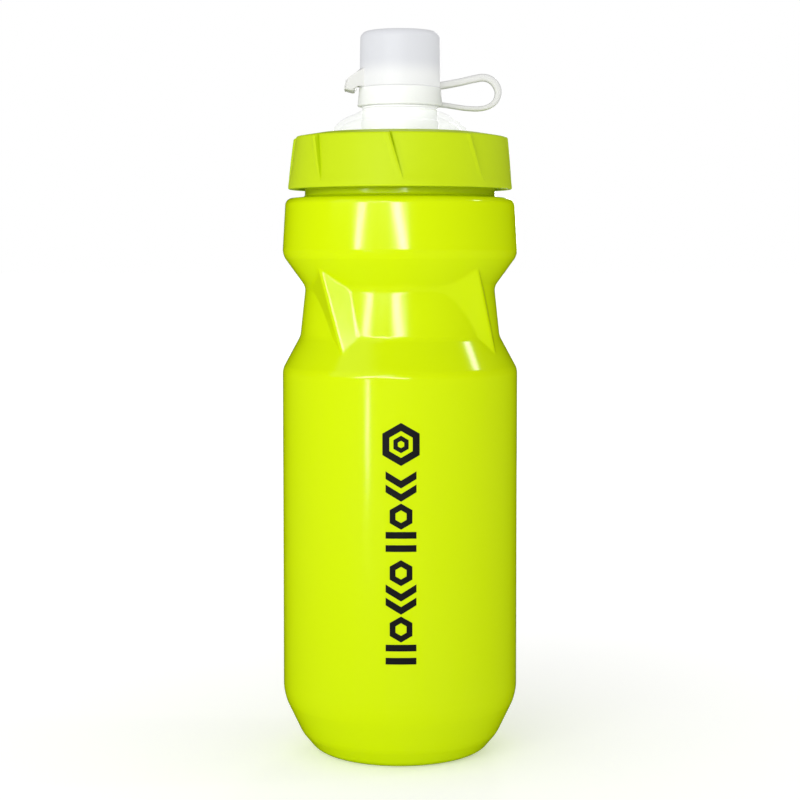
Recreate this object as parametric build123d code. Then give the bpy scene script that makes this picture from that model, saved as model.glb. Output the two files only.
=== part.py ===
from build123d import *
import math
import os

# A squeeze bottle for a bicycle's bottle cage: a blown bottle with a screw neck, a lid ring
# that holds a domed insert down on the neck, and a push-pull spout under a tethered dust cap.
# Millimetres, +Z up, the origin on the bottle's axis in the plane that it stands on.
# Angles run from the front, which is -Y, towards +X.

# ---- Driving dimensions: the blown bottle ----
body_radius = 36.75
body_wall = 1.0
punt_rise = 4.0
foot_inner_radius = 18.0
foot_outer_radius = 26.0
base_bend_radius = 31.0
base_bend_height = 6.0
base_height = 18.0
barrel_length = 102.4
waist_depth_low = 5.55
waist_depth = 7.2
waist_slope_low = 10.3
waist_length = 15.3
waist_slope_high = 10.0
bulge_length = 17.4
bulge_taper = 1.0
shoulder_rise = 0.6
shoulder_width = 6.05

# ---- Driving dimensions: the four twisted ribs across the waist ----
rib_count = 4
rib_top_angle = -46.0
rib_twist = 15.5
rib_depth = 2.75
rib_overrun_low = 5.5
rib_overrun_high = 6.0
rib_left_arc = 24.0
rib_right_arc = 12.9
rib_sink = 0.1
rib_face_slope = 34.0

# ---- Driving dimensions: the neck and its thread ----
neck_wall = 1.8
neck_length = 13.7
thread_pitch = 5.5
thread_turns = 1.1
thread_depth = 1.3
thread_root_width = 2.6
thread_crest_width = 1.4
thread_sink = 0.4
neck_thread_rise = 6.0
thread_radial_clearance = 0.4
thread_flank_clearance = 0.2
thread_flank_step = 2.0

# ---- Driving dimensions: the lid ring ----
lid_wall = 3.65
lid_taper = 1.65
lid_gap = 2.3
lid_top_thickness = 1.1
lid_crown_rise = 1.3
lid_crown_radius = 25.5
lid_hole_radius = 21.6
lid_hole_drop = 0.5
tooth_count = 8
tooth_depth = 1.1
tooth_lean = 7.0
tooth_length = 12.2
tooth_first_angle = -5.5
tooth_run_out = 0.05

# ---- Driving dimensions: the domed insert and its gasket ----
rim_gap = 0.1
gasket_thickness = 1.5
flange_thickness = 1.7
flange_inset = 0.3
flange_top_gap = 0.3
skirt_gap = 0.4
skirt_thickness = 1.5
skirt_length = 3.8
gasket_side_gap = 0.1
riser_gap = 0.6
dome_wall = 1.4
dome_side_height = 4.2
dome_bend_radius = 18.2
dome_bend_height = 7.1
dome_height = 9.8
dome_under_drop = 2.1
dome_bend_inset = 0.84
dome_riser_drop = 0.7
guide_radius = 12.1
guide_wall = 1.2
guide_drop = 5.3
guide_collar = 0.5
stop_lip = 0.45
stop_lip_height = 0.8

# ---- Driving dimensions: the push-pull spout ----
spout_travel = 6.0
running_clearance = 0.05
stop_clearance = 0.1
sleeve_bore_radius = 8.8
sleeve_lift = 4.5
seal_radius = 0.6
seal_gap = 0.03
seal_side_gap = 0.1
seal_seat_gap = 0.02
seal_height = 2.8
lip_gap = 0.2
lip_thickness = 0.45
lip_radius = 11.9
snap_radius = 11.25
snap_height = 0.5
snap_overlap = 0.25
spigot_radius = 10.0
spigot_length = 3.4
nozzle_radius = 10.9
nozzle_taper = 0.6
nozzle_length = 7.7
nozzle_lip = 2.0
nozzle_foot = 1.2
nozzle_bore_inset = 0.6
orifice_radius = 3.6

# ---- Driving dimensions: the valve post ----
post_press = 0.05
post_ring_height = 2.8
post_ring_wall = 1.4
post_stem_radius = 2.4
post_head_length = 4.0
post_head_gap = 0.3
post_head_drop = 0.7
post_hub_wall = 1.0
post_cone = 1.0
spoke_count = 3
spoke_width = 1.8

# ---- Driving dimensions: the tether and the dust cap ----
tether_height = 5.8
tether_play = 0.15
tether_wall = 2.35
tether_taper = 0.6
cap_gap = 0.2
cap_wall = 1.2
cap_clearance = 0.5
cap_length = 17.2
cap_draft = 0.25
cap_top = 1.3
cap_round = 2.3
tab_width = 12.0
tab_root_sink = 0.6
tab_root_rise = 5.8
# The tab's outer edge, each point a reach beyond the cap's wall and a rise above its rim
tab_edge = [(3.6, 2.7), (4.4, -0.9), (1.8, -1.5), (0.8, 0)]
strap_width = 3.5
strap_thickness = 1.8
strap_sink = 0.35
strap_end_gap = 0.35
strap_bend_radius = 2.2
strap_lower_root = 0.6
strap_upper_root = 0.5
# Both runs of its loop, each point a reach beyond the tether ring and a rise above the run's root
strap_lower_run = [(2.5, -0.4), (7.0, -1.2), (12.6, -1.4), (16.4, 0.4), (17.6, 3.9)]
strap_upper_run = [(16.1, 1.3), (13.2, 2.8), (9.7, 2.2), (4.3, 0.9)]

# ---- Heights and radii that follow ----
barrel_top = base_height + barrel_length
waist_bottom = barrel_top + waist_slope_low
waist_top = waist_bottom + waist_length
bulge_bottom = waist_top + waist_slope_high
shoulder_edge = bulge_bottom + bulge_length
neck_base = shoulder_edge + shoulder_rise
neck_rim = neck_base + neck_length
waist_radius = body_radius - waist_depth
neck_radius = body_radius - bulge_taper - shoulder_width
mouth_radius = neck_radius - neck_wall

flange_bottom = neck_rim + rim_gap + gasket_thickness
flange_top = flange_bottom + flange_thickness
flange_radius = neck_radius - flange_inset

lid_bottom = neck_base + lid_gap
lid_bore = neck_radius + thread_depth + thread_radial_clearance
lid_radius = lid_bore + lid_wall
lid_top_radius = lid_radius - lid_taper
lid_ceiling = flange_top + flange_top_gap
lid_edge_top = lid_ceiling + lid_top_thickness
tooth_bottom = lid_edge_top - tooth_length

riser_radius = lid_hole_radius - riser_gap
guide_bore = guide_radius - guide_wall
guide_top = flange_top + dome_height + guide_collar
guide_bottom = flange_bottom - guide_drop
stop_bottom = guide_top - stop_lip_height

sleeve_radius = guide_bore - running_clearance
sleeve_relief_radius = guide_bore - stop_lip - stop_clearance
sleeve_bottom = guide_bottom + sleeve_lift
lip_bottom = guide_top + lip_gap
groove_bottom = lip_bottom + lip_thickness
groove_top = groove_bottom + tether_height + 2 * tether_play
spigot_bottom = groove_top + snap_height
nozzle_top = spigot_bottom + nozzle_length
tether_bore = snap_radius - snap_overlap
tether_bottom = groove_bottom + tether_play
tether_top = tether_bottom + tether_height
tether_radius = tether_bore + tether_wall

cap_bore = nozzle_radius + cap_clearance
cap_radius = cap_bore + cap_wall
cap_bottom = tether_top + cap_gap
cap_height = cap_bottom + cap_length


def around(radius, angle, height):
    """The point at a radius and height, at an angle from the front towards +X."""
    turn = math.radians(angle)
    return Vector(radius * math.sin(turn), -radius * math.cos(turn), height)


def turned(*corners):
    """A solid turned about Z from corners of radius, height and, where rounded, a corner radius."""
    points = [(corner[0], 0, corner[1]) for corner in corners]
    rounds = [corner[2] if len(corner) > 2 else 0 for corner in corners]
    return revolve(make_face(FilletPolyline(*points, radius=rounds, close=True)), Axis.Z)


def inset(outline, distance):
    """An open outline moved inwards by a wall's thickness, with corner radii to match."""
    moved = []
    for index, (radius, height, corner) in enumerate(outline):
        steps = []
        for start, end in ((index - 1, index), (index, index + 1)):
            if start >= 0 and end < len(outline):
                run = outline[end][0] - outline[start][0]
                rise = outline[end][1] - outline[start][1]
                length = math.hypot(run, rise)
                steps.append((run / length, rise / length))
        (run_in, rise_in), (run_out, rise_out) = steps[0], steps[-1]
        share = distance / (1 + run_in * run_out + rise_in * rise_out)
        new_radius = radius - share * (rise_in + rise_out)
        new_height = height + share * (run_in + run_out)
        if radius == 0:
            new_radius, new_height = 0, height + distance / run_out
        convex = run_in * rise_out - rise_in * run_out > 0
        new_corner = corner + (-distance if convex else distance) if corner else 0
        moved.append((new_radius, new_height, max(new_corner, 0)))
    return moved


def thread(root_radius, crest_radius, root_width, crest_width, start_height):
    """One right-hand thread ridge, its root sunk into the wall that carries it."""
    height = abs(crest_radius - root_radius)
    flank = (root_width - crest_width) / 2
    sunk_width = crest_width + 2 * flank * (height + thread_sink) / height
    sunk_radius = root_radius - math.copysign(thread_sink, crest_radius - root_radius)
    path = Helix(thread_pitch, thread_pitch * thread_turns, root_radius)
    section = Polyline(
        (sunk_radius, 0, -sunk_width / 2),
        (crest_radius, 0, -crest_width / 2),
        (crest_radius, 0, crest_width / 2),
        (sunk_radius, 0, sunk_width / 2),
        close=True,
    )
    ridge = sweep(make_face(section), path=path, is_frenet=True)
    return Pos(0, 0, start_height) * ridge


def waist_ribs(ridge_radius, crease_radius):
    """The wedges that cross the waist, each a slanted prism with a broad and a steep face."""
    low = around(ridge_radius, rib_top_angle + rib_twist, waist_bottom - rib_overrun_low)
    high = around(ridge_radius, rib_top_angle, waist_top + rib_overrun_high)
    lean = (high - low) * (1 / (high.Z - low.Z))
    ridge = low + lean * (waist_top - low.Z)
    angle = math.degrees(math.atan2(ridge.X, -ridge.Y))
    corners = [
        ridge,
        around(crease_radius, angle - rib_left_arc, waist_top),
        around(crease_radius / 2, angle, waist_top),
        around(crease_radius, angle + rib_right_arc, waist_top),
    ]
    to_foot = lean * (barrel_top - waist_top)
    section = make_face(Polyline(*[corner + to_foot for corner in corners], close=True))
    length = lean * (bulge_bottom - barrel_top)
    rib = extrude(section, amount=length.length, dir=length)
    return [Rot(0, 0, 360 / rib_count * index) * rib for index in range(rib_count)]


def make_bottle_body():
    """The blown bottle: barrel, waist with its ribs, bulge, shoulder and screw neck."""
    outline = [
        (0, punt_rise, 0),
        (foot_inner_radius, 0, 6),
        (foot_outer_radius, 0, 6),
        (base_bend_radius, base_bend_height, 10),
        (body_radius, base_height, 14),
        (body_radius, barrel_top, 3),
        (body_radius - waist_depth_low, waist_bottom, 3),
        (waist_radius, waist_top, 2),
        (body_radius, bulge_bottom, 1.8),
        (body_radius - bulge_taper, shoulder_edge, 2.2),
        (neck_radius, neck_base, 0.8),
        (neck_radius, neck_rim, 0),
    ]
    cavity = inset(outline, body_wall)[:-2]
    cavity.append((mouth_radius, neck_base - body_wall, 0.8))
    cavity.append((mouth_radius, neck_rim + 1, 0))
    outer = turned(*outline, (0, neck_rim))
    for rib in waist_ribs(body_radius - rib_depth, waist_radius - rib_sink):
        outer += rib
    inner = turned(*cavity, (0, neck_rim + 1))
    rib_wall = body_wall / math.cos(math.radians(rib_face_slope))
    for rib in waist_ribs(body_radius - rib_depth - rib_wall, waist_radius - rib_sink - body_wall):
        inner += rib
    screw = thread(
        neck_radius,
        neck_radius + thread_depth,
        thread_root_width,
        thread_crest_width,
        neck_base + neck_thread_rise,
    )
    return outer - inner + screw


def tooth_recess(index):
    """What lies outside one lid blade: deepest just past its seam, nothing at the next one."""
    arc = 360 / tooth_count
    top = lid_edge_top + lid_crown_rise
    reach = 1.5 * lid_radius

    def sector(height, lean):
        start = tooth_first_angle + arc * index + lean
        corners = [Vector(0, 0, height), around(reach, start, height), around(reach, start + arc, height)]
        return make_face(Polyline(*corners, close=True))

    def blade(height, share):
        middle = tooth_first_angle + arc * index + 90 + arc / 2
        drop = lid_taper * (height - lid_bottom) / (lid_edge_top - lid_bottom)
        radius = lid_radius - drop - tooth_depth / 2 * share + tooth_run_out
        shift = tooth_depth / 2 / math.sin(math.radians(arc / 2)) * share
        return Plane(around(shift, middle, height)) * Circle(radius)

    share = (top - tooth_bottom) / tooth_length
    wedge = loft([sector(tooth_bottom, tooth_lean), sector(top, tooth_lean * (1 - share))], ruled=True)
    skin = loft([blade(tooth_bottom, 0), blade(top, share)], ruled=True)
    return wedge - skin


def make_lid_ring():
    """The screw ring: a tapered collar with ratchet blades and a lip over the insert's flange."""
    ring = turned(
        (lid_bore, lid_bottom, 0.4),
        (lid_radius, lid_bottom, 0.5),
        (lid_top_radius, lid_edge_top, 0.5),
        (lid_crown_radius, lid_edge_top + lid_crown_rise, 1.0),
        (lid_hole_radius, lid_edge_top + lid_crown_rise - lid_hole_drop, 0.4),
        (lid_hole_radius, lid_ceiling),
        (lid_bore, lid_ceiling),
    )
    for index in range(tooth_count):
        ring -= tooth_recess(index)
    screw = thread(
        lid_bore,
        neck_radius + thread_radial_clearance,
        thread_root_width - 2 * thread_flank_clearance,
        thread_crest_width - thread_flank_clearance,
        neck_base + neck_thread_rise - thread_flank_step,
    )
    return ring + screw


def make_lid_gasket():
    """The flat seal between the neck's rim and the insert's flange."""
    bore = mouth_radius - skirt_gap + gasket_side_gap
    bottom = neck_rim + rim_gap
    return turned(
        (bore, bottom),
        (flange_radius, bottom),
        (flange_radius, flange_bottom),
        (bore, flange_bottom),
    )


def make_dome_insert():
    """The clear insert: flange, skirt, riser, dome and the guide tube for the spout."""
    skirt_radius = mouth_radius - skirt_gap
    riser_bore = riser_radius - dome_wall
    dome_under = flange_top + dome_height - dome_under_drop
    return turned(
        (guide_bore, guide_bottom),
        (guide_radius, guide_bottom),
        (guide_radius, dome_under, 0.6),
        (dome_bend_radius - dome_bend_inset, flange_top + dome_bend_height - dome_wall, 6),
        (riser_bore, flange_top + dome_side_height - dome_riser_drop, 1),
        (riser_bore, flange_bottom),
        (skirt_radius - skirt_thickness, flange_bottom, 0.5),
        (skirt_radius - skirt_thickness, flange_bottom - skirt_length),
        (skirt_radius, flange_bottom - skirt_length, 0.4),
        (skirt_radius, flange_bottom),
        (flange_radius, flange_bottom),
        (flange_radius, flange_top, 0.3),
        (riser_radius, flange_top),
        (riser_radius, flange_top + dome_side_height, 2),
        (dome_bend_radius, flange_top + dome_bend_height, 8),
        (guide_radius, flange_top + dome_height, 0.5),
        (guide_radius, guide_top, 0.3),
        (guide_bore - stop_lip, guide_top),
        (guide_bore - stop_lip, stop_bottom),
        (guide_bore, stop_bottom),
    )


def make_valve_post():
    """The fixed plug that closes the spout: ring, spokes, stem and head."""
    ring_radius = guide_bore + post_press
    ring_top = guide_bottom + post_ring_height
    head_radius = orifice_radius - post_head_gap
    head_top = nozzle_top - post_head_drop
    post = turned(
        (0, guide_bottom),
        (post_stem_radius + post_hub_wall, guide_bottom, 0.5),
        (post_stem_radius + post_hub_wall, ring_top, 0.5),
        (post_stem_radius, ring_top + post_cone),
        (post_stem_radius, head_top - post_head_length),
        (head_radius, head_top - post_head_length + post_cone, 0.4),
        (head_radius, head_top, 1.0),
        (0, head_top),
    )
    post += turned(
        (ring_radius - post_ring_wall, guide_bottom, 0.3),
        (ring_radius, guide_bottom),
        (ring_radius, ring_top),
        (ring_radius - post_ring_wall, ring_top, 0.3),
    )
    length = ring_radius - post_ring_wall / 2 - post_stem_radius
    for index in range(spoke_count):
        spoke = Pos(post_stem_radius + length / 2, 0, guide_bottom + post_ring_height / 2)
        post += Rot(0, 0, 360 / spoke_count * index) * spoke * Box(length, spoke_width, post_ring_height)
    return post


def make_spout_sleeve():
    """The sliding tube of the spout, with a seal groove below and the tether's groove above."""
    seal_middle = sleeve_bottom + seal_height
    seal_bottom = seal_middle - seal_radius - seal_side_gap
    seal_top = seal_middle + seal_radius + seal_side_gap
    groove_radius = guide_bore - seal_gap - 2 * seal_radius - seal_seat_gap
    bead_top = stop_bottom - spout_travel
    return turned(
        (sleeve_bore_radius, sleeve_bottom, 0.4),
        (sleeve_radius, sleeve_bottom, 0.4),
        (sleeve_radius, seal_bottom),
        (groove_radius, seal_bottom),
        (groove_radius, seal_top),
        (sleeve_radius, seal_top),
        (sleeve_radius, bead_top),
        (sleeve_relief_radius, bead_top),
        (sleeve_relief_radius, lip_bottom),
        (lip_radius, lip_bottom),
        (lip_radius, groove_bottom),
        (tether_bore - running_clearance, groove_bottom),
        (tether_bore - running_clearance, groove_top),
        (snap_radius, groove_top, 0.15),
        (snap_radius, spigot_bottom, 0.15),
        (spigot_radius, spigot_bottom),
        (spigot_radius, spigot_bottom + spigot_length),
        (sleeve_bore_radius, spigot_bottom + spigot_length),
    )


def make_spout_seal():
    """The rubber ring in the sleeve's lower groove."""
    middle = Pos(guide_bore - seal_gap - seal_radius, 0, 0) * Rot(90, 0, 0) * Circle(seal_radius)
    return Pos(0, 0, sleeve_bottom + seal_height) * revolve(middle, Axis.Z)


def make_mouthpiece():
    """The soft nozzle pressed over the sleeve's spigot."""
    return turned(
        (spigot_radius, spigot_bottom),
        (nozzle_radius, spigot_bottom, 0.3),
        (nozzle_radius, spigot_bottom + nozzle_foot, 0.5),
        (nozzle_radius - nozzle_taper, nozzle_top, 1.6),
        (orifice_radius, nozzle_top, 0.8),
        (orifice_radius, nozzle_top - nozzle_lip, 0.3),
        (sleeve_bore_radius - nozzle_bore_inset, nozzle_top - nozzle_lip, 0.8),
        (sleeve_bore_radius - nozzle_bore_inset, spigot_bottom + spigot_length),
        (spigot_radius, spigot_bottom + spigot_length),
    )


def make_tether_ring():
    """The ring that turns in the spout's groove and carries the strap."""
    return turned(
        (tether_bore, tether_bottom, 0.2),
        (tether_radius, tether_bottom, 0.3),
        (tether_radius - tether_taper, tether_top, 0.3),
        (tether_bore, tether_top, 0.2),
    )


def make_tether_strap():
    """The flexible strap, moulded as an open loop from the ring up to the dust cap."""
    low = tether_bottom + strap_lower_root
    high = cap_bottom + strap_upper_root
    route = [(tether_radius - strap_sink, 0, low)]
    route += [(tether_radius + reach, 0, low + rise) for reach, rise in strap_lower_run]
    route += [(tether_radius + reach, 0, high + rise) for reach, rise in strap_upper_run]
    route.append((cap_radius + strap_end_gap, 0, high))
    path = FilletPolyline(*route, radius=strap_bend_radius)
    start = Plane(path @ 0, x_dir=(0, 1, 0), z_dir=path % 0)
    return sweep(start * Rectangle(strap_width, strap_thickness), path=path)


def make_dust_cap():
    """The cap over the nozzle, with a pull tab at its side."""
    cap = turned(
        (cap_bore, cap_bottom, 0.3),
        (cap_radius, cap_bottom, 0.2),
        (cap_radius - cap_draft, cap_height, cap_round),
        (0, cap_height),
        (0, cap_height - cap_top),
        (cap_bore - cap_draft, cap_height - cap_top, cap_round - cap_wall),
    )
    root = cap_radius - tab_root_sink
    outline = [(-root, 0, cap_bottom + tab_root_rise)]
    outline += [(-cap_radius - reach, 0, cap_bottom + rise) for reach, rise in tab_edge]
    outline.append((-root, 0, cap_bottom))
    profile = Polyline(*outline, close=True)
    tab = extrude(make_face(profile), amount=tab_width / 2, both=True)
    return cap + tab


makers = {
    "bottle_body": make_bottle_body,
    "lid_ring": make_lid_ring,
    "lid_gasket": make_lid_gasket,
    "dome_insert": make_dome_insert,
    "valve_post": make_valve_post,
    "spout_sleeve": make_spout_sleeve,
    "spout_seal": make_spout_seal,
    "mouthpiece": make_mouthpiece,
    "tether_ring": make_tether_ring,
    "tether_strap": make_tether_strap,
    "dust_cap": make_dust_cap,
}

os.makedirs("parts", exist_ok=True)
for name, make in makers.items():
    export_step(make(), f"parts/{name}.step")
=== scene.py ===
import bpy
import bmesh
import math
from mathutils import Matrix, Vector


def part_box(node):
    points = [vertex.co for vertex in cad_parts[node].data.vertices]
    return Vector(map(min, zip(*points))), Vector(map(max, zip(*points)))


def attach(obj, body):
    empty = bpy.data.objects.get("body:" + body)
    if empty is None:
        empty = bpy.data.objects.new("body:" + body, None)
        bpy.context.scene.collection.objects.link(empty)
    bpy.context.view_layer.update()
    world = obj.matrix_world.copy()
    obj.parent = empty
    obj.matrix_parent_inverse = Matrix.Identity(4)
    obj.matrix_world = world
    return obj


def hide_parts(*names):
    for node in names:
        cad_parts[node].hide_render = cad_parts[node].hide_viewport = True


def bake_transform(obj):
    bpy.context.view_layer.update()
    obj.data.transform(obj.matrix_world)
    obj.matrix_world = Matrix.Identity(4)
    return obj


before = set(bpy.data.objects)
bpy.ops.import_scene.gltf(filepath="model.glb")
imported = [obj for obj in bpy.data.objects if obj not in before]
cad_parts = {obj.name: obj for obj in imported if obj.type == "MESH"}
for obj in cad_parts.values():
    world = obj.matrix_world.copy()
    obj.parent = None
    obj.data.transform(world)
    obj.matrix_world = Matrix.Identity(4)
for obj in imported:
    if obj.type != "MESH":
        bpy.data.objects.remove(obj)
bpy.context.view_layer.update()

MM = 0.001
FULL_TURN = 2 * math.pi


# ---------------------------------------------------------------------------
# Sizes in millimetres, read from the frame where a CAD node gives them
# ---------------------------------------------------------------------------

def span(node):
    """A CAD node's reach from the axis, its lowest height and its highest, in millimetres."""
    low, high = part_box(node)
    return high.y / MM, low.z / MM, high.z / MM


BODY_RADIUS, _, NECK_RIM = span("bottle_body")
LID_RADIUS, LID_BOTTOM, LID_CROWN = span("lid_ring")
FLANGE_RADIUS, INSERT_BOTTOM, GUIDE_TOP = span("dome_insert")
GASKET_RADIUS, GASKET_BOTTOM, FLANGE_BOTTOM = span("lid_gasket")
SLEEVE_LIP_RADIUS, SLEEVE_BOTTOM, SPIGOT_TOP = span("spout_sleeve")
SEAL_REACH, SEAL_BOTTOM, SEAL_TOP = span("spout_seal")
NOZZLE_RADIUS, NOZZLE_BOTTOM, NOZZLE_TOP = span("mouthpiece")
TETHER_RADIUS, TETHER_BOTTOM, TETHER_TOP = span("tether_ring")
CAP_RADIUS, TAB_BOTTOM, CAP_TOP = span("dust_cap")

# The blown bottle
WALL = 1.0
BASE_HEIGHT = 18.0
BARREL_TOP = 120.4
WAIST_BOTTOM = 130.7
WAIST_TOP = 146.0
BULGE_BOTTOM = 156.0
SHOULDER_EDGE = 173.4
NECK_BASE = 174.0
WAIST_RADIUS = BODY_RADIUS - 7.2
WAIST_FOOT_RADIUS = BODY_RADIUS - 5.55
SHOULDER_RADIUS = BODY_RADIUS - 1.0
NECK_RADIUS = SHOULDER_RADIUS - 6.05
MOUTH_RADIUS = 27.9
BODY_COLUMNS = 360

# The twisted ribs across its waist
RIB_COUNT = 4
RIB_TOP_ANGLE = -46.0
RIB_TWIST = 15.5
RIB_RIDGE_RADIUS = BODY_RADIUS - 2.75
RIB_FOOT = WAIST_BOTTOM - 5.5
RIB_HEAD = WAIST_TOP + 6.0
RIB_LEFT_ARC = 24.0
RIB_RIGHT_ARC = 12.9
RIDGE_BLUNT = 1.3
RIB_SINK = 0.05
CREASE_BLUNT = 0.25

# The screw threads
THREAD_PITCH = 5.5
THREAD_TURNS = 1.1
THREAD_STEPS = 160
NECK_THREAD_START = NECK_BASE + 6.0
LID_THREAD_START = NECK_BASE + 4.0

# The lid ring
LID_BORE = 31.4
LID_TOP_RADIUS = 33.4
LID_CEILING = 191.3
LID_EDGE_TOP = 192.4
LID_CROWN_RADIUS = 25.5
LID_HOLE_RADIUS = 21.6
BLADE_COUNT = 8
BLADE_COLUMNS = 48
BLADE_DEPTH = 1.25
BLADE_LEAN = 7.0
BLADE_LENGTH = 13.8
BLADE_FIRST_ANGLE = -5.5

# The domed insert
FLANGE_TOP = 191.0
SKIRT_RADIUS = 27.5
SKIRT_WALL = 1.5
RISER_RADIUS = 21.0
RISER_TOP = 195.2
DOME_BEND_RADIUS = 18.2
DOME_BEND_HEIGHT = 198.1
DOME_TOP = 200.8
DOME_WALL = 1.4
GUIDE_RADIUS = 12.1
GUIDE_BORE = 10.9
STOP_LIP = 0.45
STOP_BOTTOM = GUIDE_TOP - 0.8

# The spout, its seal and the fixed plug in it
SLEEVE_RADIUS = GUIDE_BORE - 0.05
SLEEVE_BORE = 8.8
SLEEVE_RELIEF_RADIUS = 10.35
LIP_BOTTOM = GUIDE_TOP + 0.2
GROOVE_BOTTOM = LIP_BOTTOM + 0.45
GROOVE_RADIUS = 10.95
SNAP_RADIUS = 11.25
SPIGOT_RADIUS = 10.0
SPOUT_TRAVEL = 6.0
NOZZLE_TIP_RADIUS = NOZZLE_RADIUS - 0.6
ORIFICE_RADIUS = 3.6
STEM_RADIUS = 2.4
POST_TOP = NOZZLE_TOP - 0.7

# The tether and the dust cap
TETHER_BORE = 11.0
STRAP_WIDTH = 3.5
STRAP_THICKNESS = 1.5
STRAP_THICKENING = 0.8
CAP_BORE = 11.4
CAP_BOTTOM = TETHER_TOP + 0.1
CAP_DRAFT = 0.25
CAP_ROOF = 1.3
TAB_WIDTH = 12.0
GRIP_COUNT = 4
GRIP_RADIUS = 0.32

# The print
PRINT_TOP = 100.0
PRINT_CENTRE = 0.3
PRINT_STROKE = 2.0
PRINT_HALF_WIDTH = 4.6
PRINT_PITCH = 3.95
HEXAGON_PITCH = 9.0
INK_THICKNESS = 0.12


# ---------------------------------------------------------------------------
# Making meshes
# ---------------------------------------------------------------------------

def around(radius, angle, height):
    """The point at a radius and height in millimetres, at an angle in degrees from the front to +X."""
    turn = math.radians(angle)
    return Vector((radius * math.sin(turn), -radius * math.cos(turn), height)) * MM


def angle_of(point):
    """A point's angle in degrees from the front to +X."""
    return math.degrees(math.atan2(point.x, -point.y))


def round_corner(bm, vert, radius):
    """Rounds one corner of a wire with an arc of that radius."""
    legs = [edge.other_vert(vert).co - vert.co for edge in vert.link_edges]
    turn = math.pi - legs[0].angle(legs[1])
    steps = max(3, min(10, round(6 * radius * turn) + 2))
    bmesh.ops.bevel(
        bm, geom=[vert], offset=radius * MM * math.tan(turn / 2), offset_type="OFFSET",
        affect="VERTICES", segments=steps, profile=0.5, material=-1,
    )


def draw_wire(bm, corners, closed):
    """A wire at the front of the axis, from corners of radius, height and corner radius."""
    verts = [bm.verts.new((0, -corner[0] * MM, corner[1] * MM)) for corner in corners]
    for pair in zip(verts, verts[1:]):
        bm.edges.new(pair)
    if closed:
        bm.edges.new((verts[-1], verts[0]))
    for vert, corner in zip(verts, corners):
        if len(corner) > 2 and corner[2] > 0:
            round_corner(bm, vert, corner[2])


def split_edges(bm, low, high, longest):
    """Divides the wire's edges between two heights into pieces no longer than that."""
    for edge in list(bm.edges):
        middle = (edge.verts[0].co.z + edge.verts[1].co.z) / 2 / MM
        cuts = math.ceil(edge.calc_length() / MM / longest) - 1
        if low < middle < high and cuts > 0:
            bmesh.ops.subdivide_edges(bm, edges=[edge], cuts=cuts)


def spin_round(bm, columns):
    """Turns the wire once round the axis, to a skin with its faces outwards."""
    bmesh.ops.spin(
        bm, geom=bm.verts[:] + bm.edges[:], axis=(0, 0, 1), cent=(0, 0, 0), dvec=(0, 0, 0),
        angle=FULL_TURN, steps=columns, use_merge=True, use_duplicate=False,
    )
    bmesh.ops.remove_doubles(bm, verts=bm.verts, dist=1e-7)
    bmesh.ops.recalc_face_normals(bm, faces=bm.faces)


def turned(corners, closed=True, columns=128):
    """A turned part. An open outline begins and ends on the axis."""
    bm = bmesh.new()
    draw_wire(bm, corners, closed)
    spin_round(bm, columns)
    return bm


def add_mesh(bm, other):
    """Adds another bmesh to this one and frees it."""
    part = bpy.data.meshes.new("part")
    other.to_mesh(part)
    other.free()
    bm.from_mesh(part)
    bpy.data.meshes.remove(part)


def inset(outline, distance):
    """An open outline moved inwards by a wall's thickness, with corner radii to match."""
    moved = []
    for index, (radius, height, corner) in enumerate(outline):
        steps = []
        for start, end in ((index - 1, index), (index, index + 1)):
            if start >= 0 and end < len(outline):
                step = Vector(outline[end][:2]) - Vector(outline[start][:2])
                steps.append(step.normalized())
        before, after = steps[0], steps[-1]
        share = distance / (1 + before.dot(after))
        inner = [radius - share * (before.y + after.y), height + share * (before.x + after.x)]
        if radius == 0:
            inner = [0, height + distance / after.x]
        convex = before.cross(after) > 0
        rounding = corner + (-distance if convex else distance) if corner else 0
        moved.append((*inner, max(rounding, 0)))
    return moved


def add_thread(bm, wall, crest, root_width, crest_width, start):
    """A right-hand thread ridge whose ends run out into the wall that carries it."""
    sunk = wall - math.copysign(0.3, crest - wall)
    section = [(sunk, -root_width), (crest, -crest_width), (crest, crest_width), (sunk, root_width)]
    before = set(bm.verts)
    first = bm.faces.new([bm.verts.new(around(radius, 0, start + rise / 2)) for radius, rise in section])
    climb_each = THREAD_PITCH * THREAD_TURNS / THREAD_STEPS * MM
    bmesh.ops.spin(
        bm, geom=[first], axis=(0, 0, 1), cent=(0, 0, 0), dvec=(0, 0, climb_each),
        angle=FULL_TURN * THREAD_TURNS, steps=THREAD_STEPS, use_merge=False, use_duplicate=False,
    )
    run_out = 0.07
    for vert in set(bm.verts) - before:
        climb = (vert.co.z / MM - start) / THREAD_PITCH
        part = angle_of(vert.co) / 360
        turns = part + round(climb - part)
        share = min(1, max(0, turns / run_out), max(0, (THREAD_TURNS - turns) / run_out))
        radius = vert.co.xy.length / MM
        if abs(radius - crest) < 0.01:
            vert.co.xy *= (sunk + (crest - sunk) * share) / radius
    bmesh.ops.recalc_face_normals(bm, faces=bm.faces)


def smooth_max(first, second, blunt):
    """The greater of two values, with the change from one to the other rounded over a width."""
    near = max(blunt - abs(first - second), 0) / blunt
    return max(first, second) + near * near * blunt / 4


def make_piece(name, bm, material, body, nodes=(), sharp=35):
    """Makes a mesh a smooth-shaded piece that rides on a body, when one is given, and hides the CAD nodes it
    stands for.
    """
    mesh = bpy.data.meshes.new(name)
    bm.to_mesh(mesh)
    bm.free()
    mesh.shade_smooth()
    mesh.set_sharp_from_angle(angle=math.radians(sharp))
    piece = bpy.data.objects.new(name, mesh)
    bpy.context.scene.collection.objects.link(piece)
    mesh.materials.append(material)
    shading = piece.modifiers.new("even_shading", "WEIGHTED_NORMAL")
    shading.keep_sharp = True
    if body:
        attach(piece, body)
    if nodes:
        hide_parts(*nodes)
    return piece


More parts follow.
